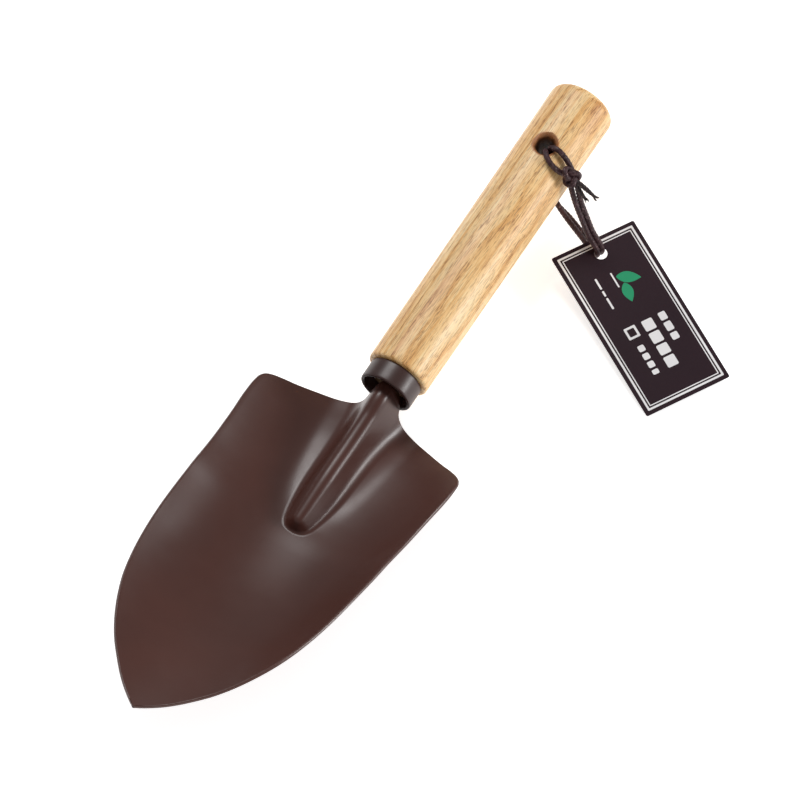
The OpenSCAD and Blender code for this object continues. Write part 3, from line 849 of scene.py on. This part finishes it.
def ink_shape(bm, loop, hole=None, side=1, mat=0):
    """A thin printed patch on the card, closed: loop, and an optional hole of as many points."""
    z0, z1 = side * (TAG_T / 2 - 0.02), side * (TAG_T / 2 + 0.035)
    lo = [bm.verts.new(p) for p in tag_pt(np.column_stack([loop, np.full(len(loop), z0)]))]
    hi = [bm.verts.new(p) for p in tag_pt(np.column_stack([loop, np.full(len(loop), z1)]))]
    k = len(loop)
    made = [bm.faces.new((lo[q], lo[(q + 1) % k], hi[(q + 1) % k], hi[q])) for q in range(k)]
    if hole is None:
        made += [bm.faces.new(hi), bm.faces.new(lo[::-1])]
    else:
        lo2 = [bm.verts.new(p) for p in tag_pt(np.column_stack([hole, np.full(len(hole), z0)]))]
        hi2 = [bm.verts.new(p) for p in tag_pt(np.column_stack([hole, np.full(len(hole), z1)]))]
        for q in range(k):
            r = (q + 1) % k
            made += [bm.faces.new((lo2[r], lo2[q], hi2[q], hi2[r])), bm.faces.new((hi[q], hi[r], hi2[r], hi2[q])),
                     bm.faces.new((lo[r], lo[q], lo2[q], lo2[r]))]
    for face in made:
        face.material_index = mat


def leaf(cx, cy, length, width, turn, n=28):
    t = np.linspace(0, 1, n)
    half = width / 2 * np.sin(np.pi * t ** 0.85) ** 0.9
    x = (t - 0.5) * length
    pts = np.concatenate([np.column_stack([x, half]), np.column_stack([x, -half])[::-1][1:-1]])
    c, s = math.cos(turn), math.sin(turn)
    return pts @ np.array([[c, s], [-s, c]]) + np.array([cx, cy])


def build_print():
    bm = bmesh.new()
    # double border
    for d0, d1 in ((1.55, 2.35), (2.95, 3.35)):
        ink_shape(bm, rounded_rect(-6.4 + d0, 65.6 - d0, -17.5 + d0, 17.5 - d0, 0.25, 3),
                  rounded_rect(-6.4 + d1, 65.6 - d1, -17.5 + d1, 17.5 - d1, 0.12, 3))
    # plain blocks where a label has its lines
    for x0, x1, y0, y1 in ((31.2, 34.6, 6.3, 9.2), (35.6, 39.4, 6.3, 9.2), (40.4, 43.4, 6.3, 9.2),
                           (31.4, 36.0, -0.8, 3.6), (37.0, 41.6, -0.8, 3.6), (42.6, 46.9, -0.8, 3.6), (47.9, 52.4, -0.8, 3.6),
                           (39.6, 42.2, -7.1, -4.5), (43.2, 45.8, -7.1, -4.5), (46.8, 49.4, -7.1, -4.5), (50.4, 52.4, -7.1, -4.5)):
        ink_shape(bm, rounded_rect(x0, x1, y0, y1, 0.55, 4))
    ink_shape(bm, rounded_rect(31.2, 36.2, -8.1, -3.4, 0.4, 4), rounded_rect(32.1, 35.3, -7.2, -4.3, 0.3, 4))
    for x0, x1 in ((8.4, 13.2), (14.0, 16.4), (17.2, 22.2)):
        ink_shape(bm, rounded_rect(x0, x1, -7.5, -6.7, 0.3, 3))
    # a sprig of two plain leaves
    ink_shape(bm, leaf(13.2, 4.4, 9.4, 4.6, math.radians(62)), mat=1)
    ink_shape(bm, leaf(18.6, 1.2, 8.2, 4.2, math.radians(-8)), mat=1)
    ink_shape(bm, rounded_rect(8.8, 15.4, -1.15, -0.55, 0.25, 3))
    bmesh.ops.recalc_face_normals(bm, faces=bm.faces)
    me = bpy.data.meshes.new("tag_print")
    bm.to_mesh(me)
    bm.free()
    me.transform(Matrix.Diagonal((MM, MM, MM, 1)))
    me.materials.append(mat_ink)
    me.materials.append(mat_green)
    ob = bpy.data.objects.new("tag_print", me)
    scene.collection.objects.link(ob)
    return ob


tag_print = build_print()
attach(tag_print, "tag")

# ---------------------------------------------------------------- floor and light
floor_me = bpy.data.meshes.new("floor")
S = 6.0
floor_me.from_pydata([(-S, -S, -0.0002), (S, -S, -0.0002), (S, S, -0.0002), (-S, S, -0.0002)], [], [(0, 1, 2, 3)])
fm = Mat("floor_paper")
fm.set(Base_Color=(0.93, 0.93, 0.93, 1), Roughness=0.9, Specular_IOR_Level=0.1, Emission_Color=(1, 1, 1, 1), Emission_Strength=0.69)
floor_me.materials.append(fm.m)
floor = bpy.data.objects.new("floor", floor_me)
scene.collection.objects.link(floor)

world = bpy.data.worlds.new("studio")
scene.world = world
world.use_nodes = True
bg = world.node_tree.nodes["Background"]
bg.inputs[0].default_value = (1.0, 1.0, 1.0, 1)
bg.inputs[1].default_value = 0.30


def softbox(name, direction, dist, size, power, target=(0, 0, 0.015), size_y=None, color=(1, 1, 1), long=None):
    ld = bpy.data.lights.new(name, "AREA")
    ld.shape = "RECTANGLE"
    ld.size = size
    ld.size_y = size_y or size
    ld.energy = power
    ld.color = color
    ob = bpy.data.objects.new(name, ld)
    scene.collection.objects.link(ob)
    d = Vector(direction).normalized()
    ob.location = Vector(target) + d * dist
    if long is None:
        ob.rotation_euler = (-d).to_track_quat("-Z", "Y").to_euler()
    else:  # the light's own X follows a given direction
        x = (Vector(long) - d * Vector(long).dot(d)).normalized()
        ob.rotation_euler = Matrix((x, d.cross(x), d)).transposed().to_euler()
    return ob


softbox("key_top", (-0.400, 0.293, 0.868), 1.5, 0.70, 10.6, size_y=0.38, long=(1, 0, 0))
softbox("side_right", (0.874, 0.361, 0.325), 1.2, 0.30, 6.6, size_y=0.31)

# ---------------------------------------------------------------- the end
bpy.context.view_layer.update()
